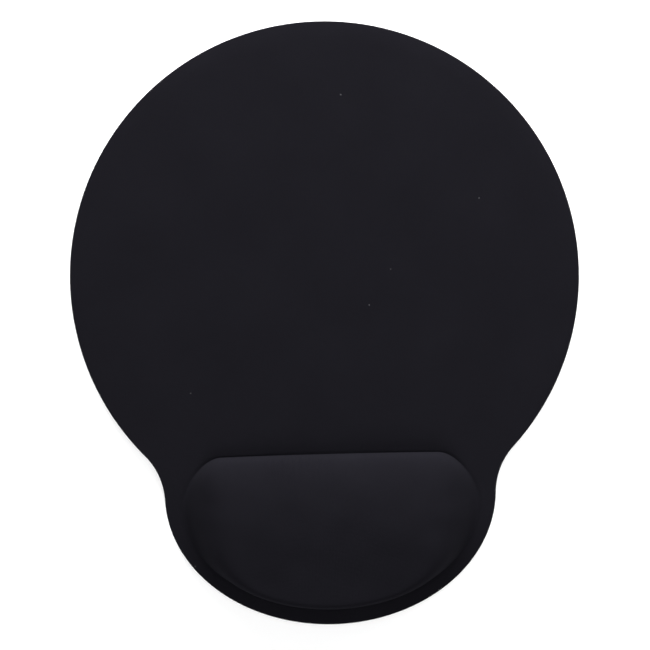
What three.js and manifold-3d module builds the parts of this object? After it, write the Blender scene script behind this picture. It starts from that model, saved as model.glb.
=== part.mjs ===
// A round mouse mat with a gel wrist rest built into its front lobe. From the table up it is an anti-slip
// base, a foam core with a shallow pressed recess, a sealed pouch of gel (bottom film, gel, domed top film
// with a flange that lies in the recess) and one stretch cloth that covers the mat and the rest.
// Millimetres. +X is the user's right, +Y points away from the user, +Z is up. The origin is on the table,
// at the middle of the outline's length and width.

import * as THREE from "three";
import { mergeVertices } from "three/addons/utils/BufferGeometryUtils.js";
import Module from "manifold-3d";

// The outline: a round mat and an elliptical wrist lobe, joined by a concave neck on each side.
const LENGTH = 240.5;
const WIDTH = 203;
const LOBE_HALF_WIDTH = 66;
const LOBE_DEPTH = 52.5; // from the lobe's widest line to the front edge
const NECK_RADIUS = 27;

// The layers. Flat layers are glued with a thin bond line, and the domed skins keep a wider gap.
const BASE_THICKNESS = 1.1;
const CORE_THICKNESS = 1.9;
const CLOTH_THICKNESS = 0.5;
const FILM_THICKNESS = 0.2;
const BOND_LINE = 0.1;
const SKIN_GAP = 0.25;

// The wrist rest's foot on the mat. It is nearly straight at the back, with round corners, and half an
// ellipse at the front. Depths are measured from the rest's own widest line.
const REST_OFFSET = 5; // from the lobe's widest line forwards to the rest's
const REST_HALF_WIDTH = 59.3;
const REST_FRONT_DEPTH = 40.9;
const REST_BACK_DEPTH = 20.4;
const REST_BACK_HALF_WIDTH = 43; // half of the nearly straight stretch at the back
const REST_BACK_BULGE = 0.3; // how far the middle of that stretch stands behind its ends
const CORNER_PULL = 0.45; // how square the back corners are, as a share of their size

// The rest's form. It is level over its front, slopes down to the mat behind the crest line, sinks towards
// its sides, and drops at its edge: suddenly at the front and softly at the sides.
const REST_HEIGHT = 15.5; // above the mat's cloth
const CREST_OFFSET = 17.5; // from the rest's widest line forwards to the crest line
const CENTRE_OFFSET = 5; // from the same line forwards to the middle that the form is drawn around
const BACK_SLOPE = { fall: 1.9, foot: 0.38 };
const SIDE_FALL = 7;
const SIDE_REACH_PAST = 2.7; // how far outside the foot the sideways sinking would reach the mat

// The edge's drop. A high power makes it sudden, and a high flare lets it run out gently on the mat. Both
// change with the direction from the middle, whose y is -1 at the front and 1 at the back.
const FRONT_EDGE = { power: 70, flare: 0.9 };
const SIDE_EDGE = { power: 13, flare: 2 };
const BACK_EDGE = { power: 60, flare: 1.15 };
const FRONT_FROM = 0.05;
const FRONT_WHOLE = 0.8;
const BACK_FROM = 0.1;
const BACK_WHOLE = 0.6;

const FLANGE_WIDTH = 2.2; // the pouch's sealed rim, outside the rest's foot
const RECESS_CLEARANCE = 0.3; // around the flange

// How finely the curves are faceted.
const OUTLINE_STEPS = 210;
const FOOT_STEPS = 72;
const RISE_STEPS = 12;
const RISE_CROWDING = 1.7; // above 1, the rings stand closer together near the foot
const HALVINGS = 50; // for the angle at which the neck touches the lobe
const MERGE_TOLERANCE = 1e-4;

// Places that follow from the dimensions.
const MAT_RADIUS = WIDTH / 2;
const MAT_Y = LENGTH / 2 - MAT_RADIUS;
const LOBE_Y = LOBE_DEPTH - LENGTH / 2;
const REST_Y = LOBE_Y - REST_OFFSET;
const CREST_Y = REST_Y - CREST_OFFSET;
const CENTRE_Y = REST_Y - CENTRE_OFFSET;
const CORE_BOTTOM = BASE_THICKNESS + BOND_LINE;
const CORE_TOP = CORE_BOTTOM + CORE_THICKNESS;
const CLOTH_BOTTOM = CORE_TOP + BOND_LINE;
const CLOTH_TOP = CLOTH_BOTTOM + CLOTH_THICKNESS;
const REST_TOP = CLOTH_TOP + REST_HEIGHT;
const TOP_FILM_BOTTOM = CORE_TOP - FILM_THICKNESS;
const BOTTOM_FILM_TOP = TOP_FILM_BOTTOM - BOND_LINE;
const BOTTOM_FILM_BOTTOM = BOTTOM_FILM_TOP - FILM_THICKNESS;
const RECESS_FLOOR = BOTTOM_FILM_BOTTOM - BOND_LINE;
const FILM_INSET = CLOTH_THICKNESS + SKIN_GAP;
const GEL_INSET = FILM_INSET + FILM_THICKNESS + SKIN_GAP;

const manifold = await Module();
manifold.setup();

// ---- closed meshes and solids

function toSolid(geometry) {
  const bare = geometry.clone();
  bare.deleteAttribute("normal");
  bare.deleteAttribute("uv");
  const merged = mergeVertices(bare, MERGE_TOLERANCE);
  return new manifold.Manifold(
    new manifold.Mesh({
      numProp: 3,
      vertProperties: new Float32Array(merged.attributes.position.array),
      triVerts: new Uint32Array(merged.index.array),
    }),
  );
}

function toGeometry(solid) {
  const mesh = solid.getMesh();
  const geometry = new THREE.BufferGeometry();
  geometry.setAttribute("position", new THREE.BufferAttribute(mesh.vertProperties, 3));
  geometry.setIndex(new THREE.BufferAttribute(mesh.triVerts, 1));
  geometry.computeVertexNormals();
  return geometry;
}

// A flat sheet of the given plan between two heights.
function sheet(plan, bottom, top) {
  const geometry = new THREE.ExtrudeGeometry(new THREE.Shape(plan), {
    depth: top - bottom,
    bevelEnabled: false,
  });
  return toSolid(geometry.translate(0, 0, bottom));
}

// ---- plans

// Evenly spaced points of a closed path, without the repeated last one.
function spacedPoints(path, steps) {
  return path.getSpacedPoints(steps).slice(0, steps);
}

// The centre of the right-hand neck arc, which touches the mat's circle and the lobe's ellipse from outside,
// and the ellipse's angle where they touch. The angle is found by halving.
function neckArc(matRadius, lobeX, lobeY, neckRadius) {
  const at = (angle) => {
    const touch = new THREE.Vector2(lobeX * Math.cos(angle), LOBE_Y + lobeY * Math.sin(angle));
    const normal = new THREE.Vector2(lobeY * Math.cos(angle), lobeX * Math.sin(angle)).normalize();
    return { angle, touch, centre: touch.clone().addScaledVector(normal, neckRadius) };
  };
  let low = -Math.PI / 4;
  let high = Math.PI / 4;
  for (let i = 0; i < HALVINGS; i++) {
    const middle = (low + high) / 2;
    const reach = Math.hypot(at(middle).centre.x, at(middle).centre.y - MAT_Y);
    if (reach > matRadius + neckRadius) low = middle;
    else high = middle;
  }
  return at(low);
}

// The whole outline, drawn in by inset, anticlockwise from the right-hand neck.
function matPlan(inset) {
  const matRadius = MAT_RADIUS - inset;
  const lobeX = LOBE_HALF_WIDTH - inset;
  const lobeY = LOBE_DEPTH - inset;
  const neckRadius = NECK_RADIUS + inset;
  const { angle, touch, centre } = neckArc(matRadius, lobeX, lobeY, neckRadius);
  const matAngle = Math.atan2(centre.y - MAT_Y, centre.x);
  const lobeAngle = Math.atan2(touch.y - centre.y, touch.x - centre.x);
  const path = new THREE.Path();
  path.absarc(0, MAT_Y, matRadius, matAngle, Math.PI - matAngle, false);
  path.absarc(-centre.x, centre.y, neckRadius, -matAngle, Math.PI - lobeAngle, true);
  path.absellipse(0, LOBE_Y, lobeX, lobeY, Math.PI - angle, 2 * Math.PI + angle, false);
  path.absarc(centre.x, centre.y, neckRadius, lobeAngle, Math.PI + matAngle, true);
  return spacedPoints(path, OUTLINE_STEPS);
}

// The rest's foot on the mat, drawn in by inset (or out, below zero), anticlockwise from the right.
function restPlan(inset) {
  const halfWidth = REST_HALF_WIDTH - inset;
  const backHalf = REST_BACK_HALF_WIDTH - inset / 2;
  const backY = REST_Y + REST_BACK_DEPTH - REST_BACK_BULGE - inset;
  const middleY = backY + 2 * REST_BACK_BULGE;
  const cornerX = halfWidth - (halfWidth - backHalf) * (1 - CORNER_PULL);
  const cornerY = REST_Y + (backY - REST_Y) * CORNER_PULL;
  const path = new THREE.Path();
  path.moveTo(halfWidth, REST_Y);
  path.bezierCurveTo(halfWidth, cornerY, cornerX, backY, backHalf, backY);
  path.quadraticCurveTo(0, middleY, -backHalf, backY);
  path.bezierCurveTo(-cornerX, backY, -halfWidth, cornerY, -halfWidth, REST_Y);
  path.absellipse(0, REST_Y, halfWidth, REST_FRONT_DEPTH - inset, Math.PI, 2 * Math.PI, false);
  return spacedPoints(path, FOOT_STEPS);
}

// ---- the rest's dome

// The power and the flare of the edge in one direction from the middle.
function edgeAt(direction) {
  const other = direction.y < 0 ? FRONT_EDGE : BACK_EDGE;
  const change =
    direction.y < 0
      ? THREE.MathUtils.smoothstep(-direction.y, FRONT_FROM, FRONT_WHOLE)
      : THREE.MathUtils.smoothstep(direction.y, BACK_FROM, BACK_WHOLE);
  const power = SIDE_EDGE.power * (other.power / SIDE_EDGE.power) ** change;
  const flare = THREE.MathUtils.lerp(SIDE_EDGE.flare, other.flare, change);
  return { power, flare };
}

// The share of the rest's full height at a spot, where share is the spot's way from the middle to the foot.
function riseAt(spot, share, edge, inset) {
  const backY = REST_Y + REST_BACK_DEPTH - inset;
  const back = THREE.MathUtils.clamp((spot.y - CREST_Y) / (backY - CREST_Y), 0, 1);
  const side = Math.abs(spot.x) / (REST_HALF_WIDTH + SIDE_REACH_PAST - inset);
  const backSlope = (1 - back ** BACK_SLOPE.fall) ** BACK_SLOPE.foot;
  const sideSlope = 1 - side ** SIDE_FALL;
  return backSlope * sideSlope * (1 - share ** edge.power) ** edge.flare;
}

// The rest's form as one closed solid, drawn in by inset from the cloth's outer face. It stands on the plane
// z = floor, and a straight skirt carries it down below that plane.
function restForm(inset, floor, skirt) {
  const foot = restPlan(inset);
  const height = REST_TOP - inset - floor;
  const centre = new THREE.Vector2(0, CENTRE_Y);
  const edges = foot.map((point) => edgeAt(point.clone().sub(centre).normalize()));
  const vertices = [];
  const triangles = [];
  if (skirt > 0) foot.forEach((point) => vertices.push(point.x, point.y, floor - skirt));
  for (let k = 0; k < RISE_STEPS; k++) {
    const share = 1 - (k / RISE_STEPS) ** RISE_CROWDING;
    foot.forEach((point, i) => {
      const spot = centre.clone().lerp(point, share);
      vertices.push(spot.x, spot.y, floor + height * riseAt(spot, share, edges[i], inset));
    });
  }
  const count = foot.length;
  const rings = vertices.length / 3 / count;
  const under = rings * count;
  const top = under + 1;
  vertices.push(centre.x, centre.y, floor - skirt);
  vertices.push(centre.x, centre.y, floor + height * riseAt(centre, 0, edges[0], inset));
  for (let i = 0; i < count; i++) {
    const j = (i + 1) % count;
    triangles.push(under, j, i);
    for (let k = 0; k < rings - 1; k++) {
      const low = k * count;
      const high = low + count;
      triangles.push(low + i, low + j, high + j, low + i, high + j, high + i);
    }
    triangles.push((rings - 1) * count + i, (rings - 1) * count + j, top);
  }
  const geometry = new THREE.BufferGeometry();
  geometry.setAttribute("position", new THREE.Float32BufferAttribute(vertices, 3));
  geometry.setIndex(triangles);
  return toSolid(geometry);
}

// ---- the pieces

const CUT_PAST = 1; // how far a cutting solid runs past the sheet that it opens

function antislipBase() {
  return sheet(matPlan(0), 0, BASE_THICKNESS);
}

function foamCore() {
  const blank = sheet(matPlan(0), CORE_BOTTOM, CORE_TOP);
  const recess = restPlan(-FLANGE_WIDTH - RECESS_CLEARANCE);
  return blank.subtract(sheet(recess, RECESS_FLOOR, CORE_TOP + CUT_PAST));
}

function gelBottomFilm() {
  return sheet(restPlan(-FLANGE_WIDTH), BOTTOM_FILM_BOTTOM, BOTTOM_FILM_TOP);
}

function gelTopFilm() {
  const flange = sheet(restPlan(-FLANGE_WIDTH), TOP_FILM_BOTTOM, CORE_TOP);
  const outside = restForm(FILM_INSET, CORE_TOP, FILM_THICKNESS / 2);
  const inside = restForm(FILM_INSET + FILM_THICKNESS, TOP_FILM_BOTTOM, CUT_PAST);
  return flange.add(outside).subtract(inside);
}

function gelCore() {
  return restForm(GEL_INSET, TOP_FILM_BOTTOM, 0);
}

function coverCloth() {
  const flat = sheet(matPlan(0), CLOTH_BOTTOM, CLOTH_TOP);
  const outside = restForm(0, CLOTH_TOP, CLOTH_THICKNESS / 2);
  const inside = restForm(CLOTH_THICKNESS, CLOTH_BOTTOM, CUT_PAST);
  return flat.add(outside).subtract(inside);
}

function piece(name, solid, color, roughness) {
  const material = new THREE.MeshStandardMaterial({ color, roughness, metalness: 0 });
  const mesh = new THREE.Mesh(toGeometry(solid), material);
  mesh.name = name;
  return mesh;
}

const wristRestMat = new THREE.Group();
wristRestMat.add(
  piece("antislip_base", antislipBase(), 0x17171a, 0.8),
  piece("foam_core", foamCore(), 0x1c1c1f, 0.95),
  piece("gel_bottom_film", gelBottomFilm(), 0xc9ccd2, 0.3),
  piece("gel_core", gelCore(), 0xb9c6d4, 0.15),
  piece("gel_top_film", gelTopFilm(), 0xc9ccd2, 0.3),
  piece("cover_cloth", coverCloth(), 0x1b1b20, 0.9),
);

export default wristRestMat;
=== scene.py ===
import math

import bpy
import numpy as np
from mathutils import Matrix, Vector


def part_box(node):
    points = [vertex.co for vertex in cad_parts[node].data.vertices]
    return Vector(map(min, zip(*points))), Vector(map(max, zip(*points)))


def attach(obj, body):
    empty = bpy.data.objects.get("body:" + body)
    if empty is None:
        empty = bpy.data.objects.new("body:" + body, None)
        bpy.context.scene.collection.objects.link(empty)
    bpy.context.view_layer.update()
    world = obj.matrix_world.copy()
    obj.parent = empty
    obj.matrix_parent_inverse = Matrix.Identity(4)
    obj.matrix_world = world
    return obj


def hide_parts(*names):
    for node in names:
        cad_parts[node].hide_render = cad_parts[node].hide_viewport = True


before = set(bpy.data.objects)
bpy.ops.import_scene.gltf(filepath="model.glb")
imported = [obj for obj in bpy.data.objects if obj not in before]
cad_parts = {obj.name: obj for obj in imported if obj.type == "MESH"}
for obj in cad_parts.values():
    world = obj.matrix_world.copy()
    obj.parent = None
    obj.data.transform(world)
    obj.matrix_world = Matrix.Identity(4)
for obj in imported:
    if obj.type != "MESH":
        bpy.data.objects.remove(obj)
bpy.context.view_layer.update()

# A round mouse mat with a gel wrist rest built into its front lobe, under one stretch cloth. Metres
# throughout, in the part's frame: +X is the user's right, +Y points away from the user, +Z is up.
MM = 0.001

# ---- sizes and places

BASE_LOW, BASE_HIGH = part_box("antislip_base")
CLOTH_LOW, CLOTH_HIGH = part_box("cover_cloth")
SEAL_LOW, SEAL_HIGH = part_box("gel_bottom_film")

# The outline: a round mat and an elliptical wrist lobe, joined by a concave neck on each side.
MAT_RADIUS = (BASE_HIGH.x - BASE_LOW.x) / 2
MAT_Y = BASE_HIGH.y - MAT_RADIUS
LOBE_HALF_WIDTH = 66 * MM
LOBE_DEPTH = 52.5 * MM
LOBE_Y = BASE_LOW.y + LOBE_DEPTH
NECK_RADIUS = 27 * MM

# The wrist rest's foot: nearly straight at the back, with round corners, and half an ellipse at the front.
FLANGE_WIDTH = 2.2 * MM
REST_Y = LOBE_Y - 5 * MM
REST_HALF_WIDTH = SEAL_HIGH.x - FLANGE_WIDTH
REST_FRONT_DEPTH = REST_Y - SEAL_LOW.y - FLANGE_WIDTH
REST_BACK_DEPTH = SEAL_HIGH.y - REST_Y - FLANGE_WIDTH
REST_BACK_HALF_WIDTH = 43 * MM
REST_BACK_BULGE = 0.3 * MM
CORNER_PULL = 0.45

# The rest's form: level over its front, sloping down to the mat behind the crest line, sinking towards its
# sides, and dropping at its edge. A high power makes that drop sudden, and a high flare lets it run out
# gently on the mat. Both change with the direction from the centre.
CREST_Y = REST_Y - 17.5 * MM
CENTRE = np.array([0, REST_Y - 5 * MM])
BACK_FALL = 1.9
BACK_FOOT = 0.38
SIDE_FALL = 7
SIDE_REACH = REST_HALF_WIDTH + 2.7 * MM
FRONT_POWER, FRONT_FLARE = 70, 0.9
SIDE_POWER, SIDE_FLARE = 13, 2
BACK_POWER, BACK_FLARE = 60, 1.15
FRONT_BLEND = (0.05, 0.8)
BACK_BLEND = (0.1, 0.6)

# The layers, from the table up. They touch, but for a hair's width.
LAYER_GAP = 0.02 * MM
CLOTH_THICKNESS = 0.5 * MM
CLOTH_ROUND = 0.3 * MM
FILM_THICKNESS = SEAL_HIGH.z - SEAL_LOW.z
SKIN_GAP = 0.05 * MM
BASE_TOP = BASE_HIGH.z
CORE_BOTTOM = BASE_TOP + LAYER_GAP
CLOTH_BOTTOM = CLOTH_LOW.z
CLOTH_TOP = CLOTH_BOTTOM + CLOTH_THICKNESS
REST_TOP = CLOTH_HIGH.z
CORE_TOP = CLOTH_BOTTOM - LAYER_GAP
FLANGE_BOTTOM = CORE_TOP - FILM_THICKNESS
SEAL_TOP = FLANGE_BOTTOM - LAYER_GAP
SEAL_BOTTOM = SEAL_TOP - FILM_THICKNESS
RECESS_FLOOR = SEAL_BOTTOM - LAYER_GAP
RECESS_CLEARANCE = 0.3 * MM
FILM_INSET = CLOTH_THICKNESS + SKIN_GAP
GEL_INSET = FILM_INSET + FILM_THICKNESS + SKIN_GAP

# How finely the pieces are meshed: points round a ring, and rings or rows.
COLUMNS = 480
REST_RINGS = 76
GROOVE_RINGS = 9
CLOTH_FLAT_RINGS = 24
CLOTH_LINING_RINGS = 24
FILM_RINGS = 30
GEL_RINGS = 40
FOAM_EDGE_RINGS = 9
BASE_ROWS = 900
BASE_COLUMNS = 56

# The cloth's groove along the rest's foot, and its gathers along the back crease.
GROOVE_WIDTH = 2.4 * MM
GROOVE_DEPTH = 0.12 * MM
PUCKER_HEIGHT = 0.16 * MM
PUCKER_HALF_WIDTH = 48 * MM
PUCKER_FADE = 8 * MM
PUCKER_START = 0.7 * MM
PUCKER_REACH = 4.5 * MM

# The foam's cut edge: how hollow it is, and how deep its pores are.
FOAM_HOLLOW = 0.16 * MM
FOAM_PORES = 0.05 * MM

# Faces that meet at more than this angle keep a crisp edge between them.
CRISP_ANGLE = math.radians(50)

# ---- lines in plan, as arrays of points


def smooth_step(start, end, value):
    t = np.clip((value - start) / (end - start), 0, 1)
    return t * t * (3 - 2 * t)


def arc(centre, radii, start, end, count):
    angles = np.linspace(start, end, count, endpoint=False)
    return np.column_stack([centre[0] + radii[0] * np.cos(angles), centre[1] + radii[1] * np.sin(angles)])


def bezier(corners, count):
    """Points of a Bezier curve of any degree, without its last one."""
    t = np.linspace(0, 1, count, endpoint=False)[:, None]
    levels = [np.array(corner)[None, :] for corner in corners]
    while len(levels) > 1:
        levels = [a + (b - a) * t for a, b in zip(levels, levels[1:])]
    return levels[0]


def evenly_spaced(points, count):
    """Points at even steps along a closed line, from its first point round."""
    loop = np.vstack([points, points[:1]])
    along = np.concatenate([[0], np.cumsum(np.hypot(*np.diff(loop, axis=0).T))])
    wanted = np.linspace(0, along[-1], count, endpoint=False)
    return np.column_stack([np.interp(wanted, along, loop[:, k]) for k in (0, 1)])


def neck_touch():
    """Where the right-hand neck arc touches the lobe: the ellipse's angle, the point and the arc's centre."""
    low, high = -math.pi / 4, math.pi / 4
    for _ in range(50):
        angle = (low + high) / 2
        touch = np.array([LOBE_HALF_WIDTH * math.cos(angle), LOBE_Y + LOBE_DEPTH * math.sin(angle)])
        normal = np.array([LOBE_DEPTH * math.cos(angle), LOBE_HALF_WIDTH * math.sin(angle)])
        centre = touch + normal / np.hypot(*normal) * NECK_RADIUS
        if math.hypot(centre[0], centre[1] - MAT_Y) > MAT_RADIUS + NECK_RADIUS:
            low = angle
        else:
            high = angle
    return angle, touch, centre


NECK_ANGLE, NECK_TOUCH, NECK_CENTRE = neck_touch()


def mat_outline():
    """The whole outline, anticlockwise from the right-hand neck: first in fine steps, then in even ones."""
    x, y = NECK_CENTRE
    mat_angle = math.atan2(y - MAT_Y, x)
    lobe_angle = math.atan2(NECK_TOUCH[1] - y, NECK_TOUCH[0] - x) % (2 * math.pi)
    mat = (MAT_RADIUS, MAT_RADIUS)
    lobe = (LOBE_HALF_WIDTH, LOBE_DEPTH)
    neck = (NECK_RADIUS, NECK_RADIUS)
    points = np.vstack([
        arc((0, MAT_Y), mat, mat_angle, math.pi - mat_angle, 2400),
        arc((-x, y), neck, -mat_angle, math.pi - lobe_angle, 300),
        arc((0, LOBE_Y), lobe, math.pi - NECK_ANGLE, 2 * math.pi + NECK_ANGLE, 1600),
        arc((x, y), neck, lobe_angle, math.pi + mat_angle, 300),
    ])
    return evenly_spaced(points, COLUMNS)


def half_width(y):
    """Half of the outline's width at each y."""
    x_neck, y_neck = NECK_CENTRE
    mat_meets = y_neck + (MAT_Y - y_neck) * NECK_RADIUS / (MAT_RADIUS + NECK_RADIUS)
    mat = np.sqrt(np.clip(MAT_RADIUS**2 - (y - MAT_Y) ** 2, 0, None))
    neck = x_neck - np.sqrt(np.clip(NECK_RADIUS**2 - (y - y_neck) ** 2, 0, None))
    lobe = LOBE_HALF_WIDTH * np.sqrt(np.clip(1 - ((y - LOBE_Y) / LOBE_DEPTH) ** 2, 0, None))
    return np.where(y > mat_meets, mat, np.where(y > NECK_TOUCH[1], neck, lobe))


def outward(line):
    """The unit normals of a closed anticlockwise line, pointing out."""
    way = np.roll(line, -1, axis=0) - np.roll(line, 1, axis=0)
    return np.column_stack([way[:, 1], -way[:, 0]]) / np.hypot(*way.T)[:, None]


OUTLINE = mat_outline()
OUTLINE_NORMAL = outward(OUTLINE)
MIDDLE = np.tile(CENTRE, (COLUMNS, 1))


def rest_foot(inset):
    """The rest's foot drawn in by inset, with one point on the line from the centre to each outline point."""
    half = REST_HALF_WIDTH - inset
    back_half = REST_BACK_HALF_WIDTH - inset / 2
    back_y = REST_Y + REST_BACK_DEPTH - REST_BACK_BULGE - inset
    middle_y = back_y + 2 * REST_BACK_BULGE
    corner_x = half - (half - back_half) * (1 - CORNER_PULL)
    corner_y = REST_Y + (back_y - REST_Y) * CORNER_PULL
    line = np.vstack([
        bezier([(half, REST_Y), (half, corner_y), (corner_x, back_y), (back_half, back_y)], 300),
        bezier([(back_half, back_y), (0, middle_y), (-back_half, back_y)], 300),
        bezier([(-back_half, back_y), (-corner_x, back_y), (-half, corner_y), (-half, REST_Y)], 300),
        arc((0, REST_Y), (half, REST_FRONT_DEPTH - inset), math.pi, 2 * math.pi, 900),
    ])
    offset = line - CENTRE
    angles = np.arctan2(offset[:, 1], offset[:, 0])
    order = np.argsort(angles)
    reach = np.hypot(*offset.T)
    wanted = np.arctan2(*(OUTLINE - CENTRE).T[::-1])
    found = np.interp(wanted, angles[order], reach[order], period=2 * math.pi)
    return CENTRE + np.column_stack([np.cos(wanted), np.sin(wanted)]) * found[:, None]


# ---- the rest's form


def edge_shapes(foot):
    """The power and the flare of the rest's edge at each point of its foot."""
    direction = (foot - CENTRE)[:, 1] / np.hypot(*(foot - CENTRE).T)
    forward = smooth_step(*FRONT_BLEND, -direction)
    backward = smooth_step(*BACK_BLEND, direction)
    powers = SIDE_POWER * (FRONT_POWER / SIDE_POWER) ** forward * (BACK_POWER / SIDE_POWER) ** backward
    flares = SIDE_FLARE + (FRONT_FLARE - SIDE_FLARE) * forward + (BACK_FLARE - SIDE_FLARE) * backward
    return powers, flares


def rise(spots, share, powers, flares, inset):
    """The share of the rest's full height at spots that lie share of the way from the centre to the foot."""
    back_y = REST_Y + REST_BACK_DEPTH - inset
    back = np.clip((spots[:, 1] - CREST_Y) / (back_y - CREST_Y), 0, 1)
    side = np.abs(spots[:, 0]) / (SIDE_REACH - inset)
    edge = (1 - share**powers) ** flares
    return (1 - back**BACK_FALL) ** BACK_FOOT * (1 - side**SIDE_FALL) * edge


def level(points, z):
    """A ring of points at one height."""
    return np.column_stack([points, np.full(len(points), z)])


def ring_share(k, count):
    """How far out ring k of count lies, as a share of the way to the foot. They are closest at the foot."""
    return 1 - (k / count) ** 2


def rest_rings(inset, floor, count):
    """Rings from the foot up to the middle of the rest's form, which is drawn in by inset."""
    foot = rest_foot(inset)
    powers, flares = edge_shapes(foot)
    rings = []
    for k in range(count):
        share = ring_share(k, count)
        spots = CENTRE + (foot - CENTRE) * share
        z = floor + (REST_TOP - inset - floor) * rise(spots, share, powers, flares, inset)
        rings.append(np.column_stack([spots, z]))
    return rings


def ripples(x, y, waves):
    """A sum of sine waves. Each has its radians per metre along x and along y, and its phase."""
    return sum(np.sin(a * x + b * y + phase) for a, b, phase in waves)


def undulation(x, y):
    """The mat never lies quite flat: its foam and what lies on it wave by up to a tenth of a millimetre."""
    waves = ((62, 18, 0.3), (-31, 74, 1.9), (88, -57, 4.4), (17, 109, 2.6), (-120, 33, 5.2))
    return 0.02 * MM * ripples(x, y, waves)


def settled(points):
    """The points with the undulation, which grows from nothing on the base to its whole at the foam's top."""
    moved = points.copy()
    grown = np.clip((points[:, 2] - BASE_TOP) / (CORE_TOP - BASE_TOP), 0, 1)
    moved[:, 2] += undulation(points[:, 0], points[:, 1]) * grown
    return moved


# ---- meshes


def finished(name, vertices, faces, material):
    """A new object with smooth faces and crisp corners."""
    mesh = bpy.data.meshes.new(name)
    mesh.from_pydata(vertices.tolist(), [], faces)
    mesh.validate()
    mesh.shade_smooth()
    mesh.set_sharp_from_angle(angle=CRISP_ANGLE)
    mesh.materials.append(material)
    piece = bpy.data.objects.new(name, mesh)
    bpy.context.collection.objects.link(piece)
    return piece


def lofted(name, rings, material):
    """A closed piece through rings of points that run from its underside out round its edge to its top."""
    count = len(rings[0])
    first = rings[0].mean(axis=0)
    last = rings[-1].mean(axis=0)
    vertices = settled(np.vstack([*rings, first, last]))
    under = len(rings) * count
    over = under + 1
    top = under - count
    faces = []
    for i in range(count):
        j = (i + 1) % count
        faces.append((under, j, i))
        for low in range(0, top, count):
            faces.append((low + i, low + j, low + count + j, low + count + i))
        faces.append((top + i, top + j, over))
    return finished(name, vertices, faces, material)


def between(outer, inner, shares):
    """Rings on the straight ways from one ring to another."""
    return [outer + (inner - outer) * share for share in shares]


# ---- materials


def shader_tree(name):
    material = bpy.data.materials.new(name)
    material.use_nodes = True
    return material, material.node_tree, material.node_tree.nodes["Principled BSDF"]


def fed(tree, target, value):
    """Sets an input socket to a number or colour, or links it to an output socket."""
    if isinstance(value, bpy.types.NodeSocket):
        tree.links.new(value, target)
    else:
        target.default_value = value


def calc(tree, operation, first, second=0.0):
    node = tree.nodes.new("ShaderNodeMath")
    node.operation = operation
    fed(tree, node.inputs[0], first)
    fed(tree, node.inputs[1], second)
    return node.outputs[0]


def scaled(tree, value, low, high):
    """A value from 0 to 1 brought to the range from low to high."""
    node = tree.nodes.new("ShaderNodeMapRange")
    fed(tree, node.inputs["Value"], value)
    node.inputs["To Min"].default_value = low
    node.inputs["To Max"].default_value = high
    return node.outputs["Result"]


def noise(tree, place, scale, detail=2.0):
    node = tree.nodes.new("ShaderNodeTexNoise")
    tree.links.new(place, node.inputs["Vector"])
    node.inputs["Scale"].default_value = scale
    node.inputs["Detail"].default_value = detail
    return node.outputs["Fac"]


def mixed(tree, factor, first, second):
    node = tree.nodes.new("ShaderNodeMix")
    node.data_type = "RGBA"
    fed(tree, node.inputs["Factor"], factor)
    fed(tree, node.inputs["A"], first)
    fed(tree, node.inputs["B"], second)
    return node.outputs["Result"]


def bump(tree, height, distance, normal=None):
    node = tree.nodes.new("ShaderNodeBump")
    node.inputs["Distance"].default_value = distance
    tree.links.new(height, node.inputs["Height"])
    if normal is not None:
        tree.links.new(normal, node.inputs["Normal"])
    return node.outputs["Normal"]


def object_place(tree):
    return tree.nodes.new("ShaderNodeTexCoord").outputs["Object"]


def knit(tree, place, wale, course):
    """The height of a jersey knit: columns of small V-shaped stitches, wale apart and course tall."""
    split = tree.nodes.new("ShaderNodeSeparateXYZ")
    tree.links.new(place, split.inputs[0])
    across = calc(tree, "FRACT", calc(tree, "DIVIDE", split.outputs["X"], wale))
    off_middle = calc(tree, "ABSOLUTE", calc(tree, "SUBTRACT", across, 0.5))
    along = calc(tree, "DIVIDE", split.outputs["Y"], course)
    leg = calc(tree, "FRACT", calc(tree, "ADD", along, off_middle))
    yarn = calc(tree, "SINE", calc(tree, "MULTIPLY", leg, math.pi))
    column = calc(tree, "SINE", calc(tree, "MULTIPLY", across, math.pi))
    return calc(tree, "MULTIPLY", yarn, calc(tree, "POWER", column, 0.6))


def ruffled(tree, place, scale, reach):
    """The places shifted unevenly by up to reach, which makes round marks ragged."""
    unevenness = tree.nodes.new("ShaderNodeTexNoise")
    tree.links.new(place, unevenness.inputs["Vector"])
    unevenness.inputs["Scale"].default_value = scale
    shift = tree.nodes.new("ShaderNodeVectorMath")
    shift.operation = "MULTIPLY_ADD"
    tree.links.new(unevenness.outputs["Color"], shift.inputs[0])
    shift.inputs[1].default_value = (reach, reach, reach)
    tree.links.new(place, shift.inputs[2])
    return shift.outputs[0]


def lint(tree, place, cell, radius, rarity):
    """1 on a few small specks, 0 elsewhere. One cell in about 1 / (1 - rarity) holds a speck."""
    cells = tree.nodes.new("ShaderNodeTexVoronoi")
    cells.voronoi_dimensions = "2D"
    tree.links.new(ruffled(tree, place, 1600, 0.9 * MM), cells.inputs["Vector"])
    cells.inputs["Scale"].default_value = 1 / cell
    near = calc(tree, "LESS_THAN", cells.outputs["Distance"], radius / cell)
    picked = tree.nodes.new("ShaderNodeSeparateColor")
    tree.links.new(cells.outputs["Color"], picked.inputs[0])
    return calc(tree, "MULTIPLY", near, calc(tree, "GREATER_THAN", picked.outputs[0], rarity))


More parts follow.
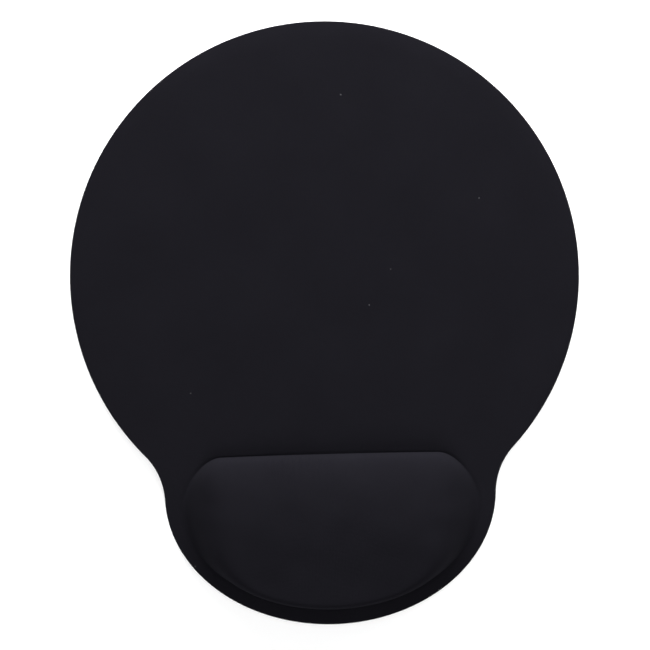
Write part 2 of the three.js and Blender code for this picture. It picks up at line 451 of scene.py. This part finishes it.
def stretch_cloth():
    """Black microfibre jersey. Its knit follows the cloth over the rest by the mesh's own cloth_place."""
    material, tree, shader = shader_tree("stretch_cloth")
    lie = tree.nodes.new("ShaderNodeAttribute")
    lie.attribute_name = "cloth_place"
    place = lie.outputs["Vector"]
    mottle = scaled(tree, noise(tree, place, 34, 4), -0.4, 1.4)
    heather = scaled(tree, noise(tree, place, 2100, 1), -0.3, 1.3)
    dark = mixed(tree, mottle, (0.0046, 0.0044, 0.0058, 1), (0.0056, 0.0054, 0.0071, 1))
    color = mixed(tree, calc(tree, "MULTIPLY", heather, 0.3), dark, (0.0072, 0.0069, 0.009, 1))
    speck = lint(tree, place, 9 * MM, 0.22 * MM, 0.985)
    fed(tree, shader.inputs["Base Color"], mixed(tree, speck, color, (0.06, 0.06, 0.065, 1)))
    stitches = knit(tree, place, 0.42 * MM, 0.36 * MM)
    fed(tree, shader.inputs["Roughness"], scaled(tree, stitches, 0.92, 0.74))
    shader.inputs["Specular IOR Level"].default_value = 0.0
    shader.inputs["Sheen Weight"].default_value = 0.008
    shader.inputs["Sheen Roughness"].default_value = 0.5
    shader.inputs["Sheen Tint"].default_value = (0.78, 0.78, 0.9, 1)
    fuzz = bump(tree, noise(tree, place, 900, 3), 0.05 * MM)
    fed(tree, shader.inputs["Normal"], bump(tree, stitches, 0.035 * MM, fuzz))
    return material


def cut_foam():
    """Black closed-cell foam, with the open pores that a cut leaves. Each pore's hollow is drawn darker
    towards its middle, which is painted shade.
    """
    material, tree, shader = shader_tree("cut_foam")
    place = object_place(tree)
    pores = tree.nodes.new("ShaderNodeTexVoronoi")
    tree.links.new(place, pores.inputs["Vector"])
    pores.inputs["Scale"].default_value = 1 / (0.35 * MM)
    # Painted shade in the pores: 1 in the middle of each pore's hollow, falling to 0 at its rim.
    pore_shade = scaled(tree, pores.outputs["Distance"], 1.0, 0.0)
    grey = scaled(tree, noise(tree, place, 700, 3), -0.2, 1.2)
    base = mixed(tree, grey, (0.008, 0.008, 0.009, 1), (0.014, 0.014, 0.015, 1))
    # The painted pore shade darkens the foam's colour towards near black in each hollow.
    fed(tree, shader.inputs["Base Color"], mixed(tree, pore_shade, base, (0.004, 0.004, 0.0045, 1)))
    fed(tree, shader.inputs["Roughness"], scaled(tree, grey, 0.85, 0.97))
    shader.inputs["Specular IOR Level"].default_value = 0.15
    fed(tree, shader.inputs["Normal"], bump(tree, pores.outputs["Distance"], 0.12 * MM))
    return material


def grip_rubber():
    """Black moulded rubber, with a fine grain and a little bloom."""
    material, tree, shader = shader_tree("grip_rubber")
    place = object_place(tree)
    bloom = scaled(tree, noise(tree, place, 45, 5), -0.5, 1.4)
    grain = noise(tree, place, 2600, 2)
    fed(tree, shader.inputs["Base Color"],
        mixed(tree, bloom, (0.0085, 0.0085, 0.009, 1), (0.016, 0.016, 0.017, 1)))
    fed(tree, shader.inputs["Roughness"], scaled(tree, bloom, 0.5, 0.68))
    shader.inputs["Specular IOR Level"].default_value = 0.4
    fed(tree, shader.inputs["Normal"], bump(tree, grain, 0.03 * MM))
    return material


def clear_film():
    """The pouch's clear soft film, slightly hazy, with a faint pressed grain."""
    material, tree, shader = shader_tree("clear_film")
    place = object_place(tree)
    haze = noise(tree, place, 60, 4)
    fed(tree, shader.inputs["Base Color"], mixed(tree, haze, (0.58, 0.62, 0.66, 1), (0.68, 0.7, 0.72, 1)))
    fed(tree, shader.inputs["Roughness"], scaled(tree, haze, 0.18, 0.42))
    shader.inputs["IOR"].default_value = 1.48
    shader.inputs["Transmission Weight"].default_value = 0.85
    fed(tree, shader.inputs["Normal"], bump(tree, noise(tree, place, 1500, 2), 0.01 * MM))
    return material


def soft_gel():
    """Pale blue gel, cloudy inside."""
    material, tree, shader = shader_tree("soft_gel")
    place = object_place(tree)
    cloud = noise(tree, place, 90, 4)
    fed(tree, shader.inputs["Base Color"], mixed(tree, cloud, (0.4, 0.52, 0.64, 1), (0.5, 0.6, 0.7, 1)))
    fed(tree, shader.inputs["Roughness"], scaled(tree, cloud, 0.08, 0.2))
    shader.inputs["IOR"].default_value = 1.43
    shader.inputs["Transmission Weight"].default_value = 0.8
    fed(tree, shader.inputs["Normal"], bump(tree, noise(tree, place, 240, 2), 0.05 * MM))
    return material


# ---- the cloth


def rounded_edge(thickness, bottom, radius, steps):
    """Rings up a cut edge whose top corner is rounded, from the outline at the bottom to the top face."""
    rings = [level(OUTLINE, bottom), level(OUTLINE, bottom + (thickness - radius) / 2)]
    for k in range(steps + 1):
        angle = k / steps * math.pi / 2
        drawn_in = radius * (1 - math.cos(angle))
        height = bottom + thickness - radius + radius * math.sin(angle)
        rings.append(level(OUTLINE - OUTLINE_NORMAL * drawn_in, height))
    return rings


def normals_of(grid):
    """The unit normals of a grid of rings, pointing up."""
    around = np.roll(grid, -1, axis=1) - np.roll(grid, 1, axis=1)
    inward = np.gradient(grid, axis=0)
    normals = np.cross(around, inward)
    return normals / np.linalg.norm(normals, axis=2, keepdims=True)


def lumps(x, y):
    """Soft uneven places where the gel presses against the cloth."""
    waves = ((310, 120, 0.4), (-190, 330, 2.2), (420, -260, 5.0), (150, 410, 1.1), (-370, -90, 3.4))
    return 0.03 * MM * ripples(x, y, waves)


def puckers(x):
    """The fine gathers along the back crease, strongest in a few patches."""
    patches = ((-14, 12, 1.0), (9, 5, 0.35), (33, 7, 0.45), (-38, 6, 0.4))
    strength = sum(s * np.exp(-(((x / MM - middle) / reach) ** 2)) for middle, reach, s in patches)
    folds = np.sin(2 * math.pi * x / (2.3 * MM) + 1.3 * np.sin(x / (3.1 * MM)))
    folds += 0.6 * np.sin(2 * math.pi * x / (3.7 * MM) + 0.8)
    return strength * folds


def relief(spots, share):
    """How far the cloth stands out of the smooth form, share of the way from the centre to the foot."""
    x, y = spots[:, 0], spots[:, 1]
    from_crease = REST_Y + REST_BACK_DEPTH - y
    gathered = np.exp(-from_crease / PUCKER_REACH) * (1 - np.exp(-from_crease / PUCKER_START))
    gathered *= smooth_step(0, PUCKER_FADE, PUCKER_HALF_WIDTH - np.abs(x))
    return lumps(x, y) * (1 - share**8) + PUCKER_HEIGHT * puckers(x) * gathered


def pressed_groove(distance):
    """The cloth is pressed down into the foam along the rest's foot."""
    return -GROOVE_DEPTH * np.exp(-((3 * distance / GROOVE_WIDTH) ** 2))


def cover_top():
    """The cloth's top face from its edge in: the flat of the mat, the groove at the rest's foot, the rest."""
    foot = level(rest_foot(0), CLOTH_TOP)
    edge = level(OUTLINE - OUTLINE_NORMAL * CLOTH_ROUND, CLOTH_TOP)
    reach = np.linalg.norm(foot - edge, axis=1)[:, None]
    groove_start = foot + (edge - foot) * GROOVE_WIDTH / reach
    flat = between(edge, groove_start, np.linspace(0, 1, CLOTH_FLAT_RINGS))[1:]
    for distance in np.linspace(GROOVE_WIDTH, 0, GROOVE_RINGS)[1:-1]:
        ring = foot + (edge - foot) * distance / reach
        ring[:, 2] += pressed_groove(distance)
        flat.append(ring)
    rest = rest_rings(0, CLOTH_TOP, REST_RINGS)
    normals = normals_of(np.array(rest))
    raised = []
    for k, ring in enumerate(rest):
        share = ring_share(k, REST_RINGS)
        raised.append(ring + normals[k] * relief(ring[:, :2], share)[:, None])
    raised[0][:, 2] += pressed_groove(0)
    return flat + raised


def cloth_places(rings):
    """Where each point of the rest's rings lay on the cloth before it was stretched over the rest.

    Along each line from the foot to the centre the cloth is stretched evenly.
    """
    grid = np.array(rings)
    foot = level(rest_foot(0), 0)
    steps = np.linalg.norm(np.diff(grid, axis=0), axis=2)
    along = np.vstack([np.zeros(grid.shape[1]), np.cumsum(steps, axis=0)])
    total = along[-1] + np.linalg.norm(grid[-1] - grid[-1].mean(axis=0), axis=1)
    left = 1 - along / total
    centre = np.array([*CENTRE, 0])
    return centre + (foot - centre) * left[:, :, None]


def stretch_cover():
    """The cloth, from its lining at the top of the rest, down and out underneath, and back over its top."""
    inner_foot = level(rest_foot(CLOTH_THICKNESS), CLOTH_BOTTOM)
    lining = rest_rings(CLOTH_THICKNESS, CLOTH_BOTTOM, CLOTH_LINING_RINGS)[::-1]
    underside = between(inner_foot, level(OUTLINE, CLOTH_BOTTOM), np.linspace(0, 1, 8))[1:-1]
    edge = rounded_edge(CLOTH_THICKNESS, CLOTH_BOTTOM, CLOTH_ROUND, 4)
    top = cover_top()
    rings = lining + underside + edge + top
    cover = lofted("stretch_cover", rings, stretch_cloth())
    places = np.array(rings)
    places[-REST_RINGS:] = cloth_places(rings[-REST_RINGS:])
    flat_places = np.vstack([*places, rings[0].mean(axis=0), [*CENTRE, 0]])
    flat_places[:, 2] = 0
    attribute = cover.data.attributes.new("cloth_place", "FLOAT_VECTOR", "POINT")
    attribute.data.foreach_set("vector", flat_places.ravel())
    return cover


# ---- the foam, the gel and its pouch


def foam_core():
    """The mat's foam: its cut edge is a little hollow and rough, and a recess takes the pouch's flange."""
    rng = np.random.default_rng(4)
    pore_shade = []
    for height in np.linspace(0, 1, FOAM_EDGE_RINGS):
        hollow = FOAM_HOLLOW * math.sin(math.pi * height)
        pores = FOAM_PORES * rng.random((COLUMNS, 1)) * (0 < height < 1)
        z = CORE_BOTTOM + (CORE_TOP - CORE_BOTTOM) * height
        pore_shade.append(level(OUTLINE - OUTLINE_NORMAL * (hollow + pores), z))
    shares = np.linspace(0.25, 1, 4)
    lip = rest_foot(-FLANGE_WIDTH - RECESS_CLEARANCE)
    underside = between(level(MIDDLE, CORE_BOTTOM), level(OUTLINE, CORE_BOTTOM), shares)[:-1]
    top = between(level(OUTLINE, CORE_TOP), level(lip, CORE_TOP), shares)
    floor = between(level(lip, RECESS_FLOOR), level(MIDDLE, RECESS_FLOOR), (0, 0.25, 0.5, 0.75))
    return lofted("mat_foam", underside + pore_shade + top + floor, cut_foam())


def seal_film():
    """The flat film under the gel."""
    rim = rest_foot(-FLANGE_WIDTH)
    shares = (0.3, 0.6, 0.9, 1)
    under = between(level(MIDDLE, SEAL_BOTTOM), level(rim, SEAL_BOTTOM), shares)
    over = between(level(MIDDLE, SEAL_TOP), level(rim, SEAL_TOP), shares)[::-1]
    return lofted("pouch_seal", under + over, POUCH_FILM)


def pouch_dome():
    """The domed film over the gel, with its flat flange."""
    lining = rest_rings(FILM_INSET + FILM_THICKNESS, FLANGE_BOTTOM, FILM_RINGS)[::-1]
    rim = rest_foot(-FLANGE_WIDTH)
    skin = rest_rings(FILM_INSET, CORE_TOP, FILM_RINGS)
    flange = [level(rim, FLANGE_BOTTOM), level(rim, CORE_TOP)]
    return lofted("pouch_dome", lining + flange + skin, POUCH_FILM)


def gel_body():
    """The gel fills the pouch."""
    top = rest_rings(GEL_INSET, SEAL_TOP + LAYER_GAP, GEL_RINGS)
    floor = between(level(MIDDLE, top[0][0, 2]), top[0], (0.3, 0.6, 0.9))
    return lofted("gel_body", floor + top, soft_gel())


# ---- the base

# The ribs under it, and how far inside the outline's two ends its first and last rows of points lie.
RIB_PITCH = 3 * MM
RIB_DEPTH = 0.2 * MM
RIB_SWAY = 1.1 * MM
RIB_SWAY_LENGTH = 26 * MM
END_TRIM = 0.02 * MM


def rib_hollow(x, y):
    """How far the underside is hollow: wavy ribs that run from side to side."""
    swayed = y + RIB_SWAY * np.sin(2 * math.pi * x / RIB_SWAY_LENGTH)
    wave = 0.5 - 0.5 * np.cos(2 * math.pi * swayed / RIB_PITCH)
    return RIB_DEPTH * smooth_step(0.25, 0.75, wave)


def grip_base():
    """The rubber base: rows of points from front to back, each once round from the left underneath."""
    places = np.linspace(BASE_LOW.y + END_TRIM, BASE_HIGH.y - END_TRIM, BASE_ROWS)
    x = half_width(places)[:, None] * np.linspace(-1, 1, BASE_COLUMNS)
    y = np.repeat(places[:, None], BASE_COLUMNS, axis=1)
    under = np.stack([x, y, rib_hollow(x, y)], axis=2)
    flat = np.full(BASE_ROWS, BASE_TOP)
    top_right = np.column_stack([x[:, -1], places, flat])
    top_left = np.column_stack([x[:, 0], places, flat])
    rows = np.concatenate([under, top_right[:, None], top_left[:, None]], axis=1)
    count = rows.shape[1]
    last = (BASE_ROWS - 1) * count
    faces = [tuple(range(count)), tuple(range(last, last + count))[::-1]]
    for row in range(0, last, count):
        for k in range(count):
            j = (k + 1) % count
            faces.append((row + k, row + count + k, row + count + j, row + j))
    return finished("grip_base", rows.reshape(-1, 3), faces, grip_rubber())


# ---- the pieces


def placed(piece, node):
    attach(piece, "root")
    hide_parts(node)
    return piece


POUCH_FILM = clear_film()
placed(grip_base(), "antislip_base")
foam = placed(foam_core(), "foam_core")
placed(seal_film(), "gel_bottom_film")
gel = placed(gel_body(), "gel_core")
placed(pouch_dome(), "gel_top_film")
cover = placed(stretch_cover(), "cover_cloth")

# ---- the stage


def pale_floor():
    bpy.ops.mesh.primitive_plane_add(size=6)
    floor = bpy.context.object
    floor.name = "floor"
    material, _, shader = shader_tree("pale_paper")
    shader.inputs["Base Color"].default_value = (0.95, 0.95, 0.95, 1)
    shader.inputs["Roughness"].default_value = 0.9
    floor.data.materials.append(material)


def aimed(light, place, target):
    lamp = bpy.data.objects.new(light.name, light)
    bpy.context.collection.objects.link(lamp)
    lamp.location = place
    lamp.rotation_euler = (Vector(target) - Vector(place)).to_track_quat("-Z", "Y").to_euler()


def softbox(name, width, power, place):
    """A low, wide light aimed at the rest."""
    light = bpy.data.lights.new(name, "AREA")
    light.shape = "RECTANGLE"
    light.size = width
    light.size_y = 0.2
    light.energy = power
    aimed(light, place, (0, -0.05, 0.01))


def far_light(name, strength, spread, elevation):
    """A wide, distant light in front of the mat, elevation degrees up."""
    light = bpy.data.lights.new(name, "SUN")
    light.energy = strength
    light.angle = math.radians(spread)
    up = math.radians(elevation)
    aimed(light, (0, -math.cos(up), math.sin(up)), (0, 0, 0))


def white_world(strength, seen):
    """Even white light from all round. The camera sees the same white, brighter."""
    world = bpy.data.worlds.new("studio")
    world.use_nodes = True
    tree = world.node_tree
    background = tree.nodes["Background"]
    background.inputs["Color"].default_value = (1, 1, 1, 1)
    direct = tree.nodes.new("ShaderNodeLightPath").outputs["Is Camera Ray"]
    tree.links.new(scaled(tree, direct, strength, seen), background.inputs["Strength"])
    bpy.context.scene.world = world


def studio_light():
    softbox("back_light", 0.9, 32.5, (0, 0.8, 0.22))
    softbox("near_light", 0.5, 1.6, (0.3, 0.32, 0.14))
    far_light("front_light", 2.45, 30, 40)
    far_light("top_light", 0.9, 50, 89)
    white_world(0.3, 1.2)
    bpy.context.scene.view_settings.view_transform = "Standard"


CAMERA_HEIGHT = 1
VIEW_WIDTH = 0.26
VIEW_MIDDLE = (-0.31 * MM, -0.9 * MM)
VIEW_TURN = math.radians(-1.55)


def overhead_camera():
    """Straight above the mat, and turned by the degree and a half that the mat lies askew."""
    camera = bpy.data.objects.new("camera", bpy.data.cameras.new("camera"))
    bpy.context.collection.objects.link(camera)
    camera.data.sensor_width = 36
    camera.data.lens = camera.data.sensor_width * CAMERA_HEIGHT / VIEW_WIDTH
    camera.data.clip_end = 20
    camera.location = (*VIEW_MIDDLE, CAMERA_HEIGHT)
    camera.rotation_euler = (0, 0, VIEW_TURN)
    bpy.context.scene.camera = camera


pale_floor()
studio_light()
overhead_camera()
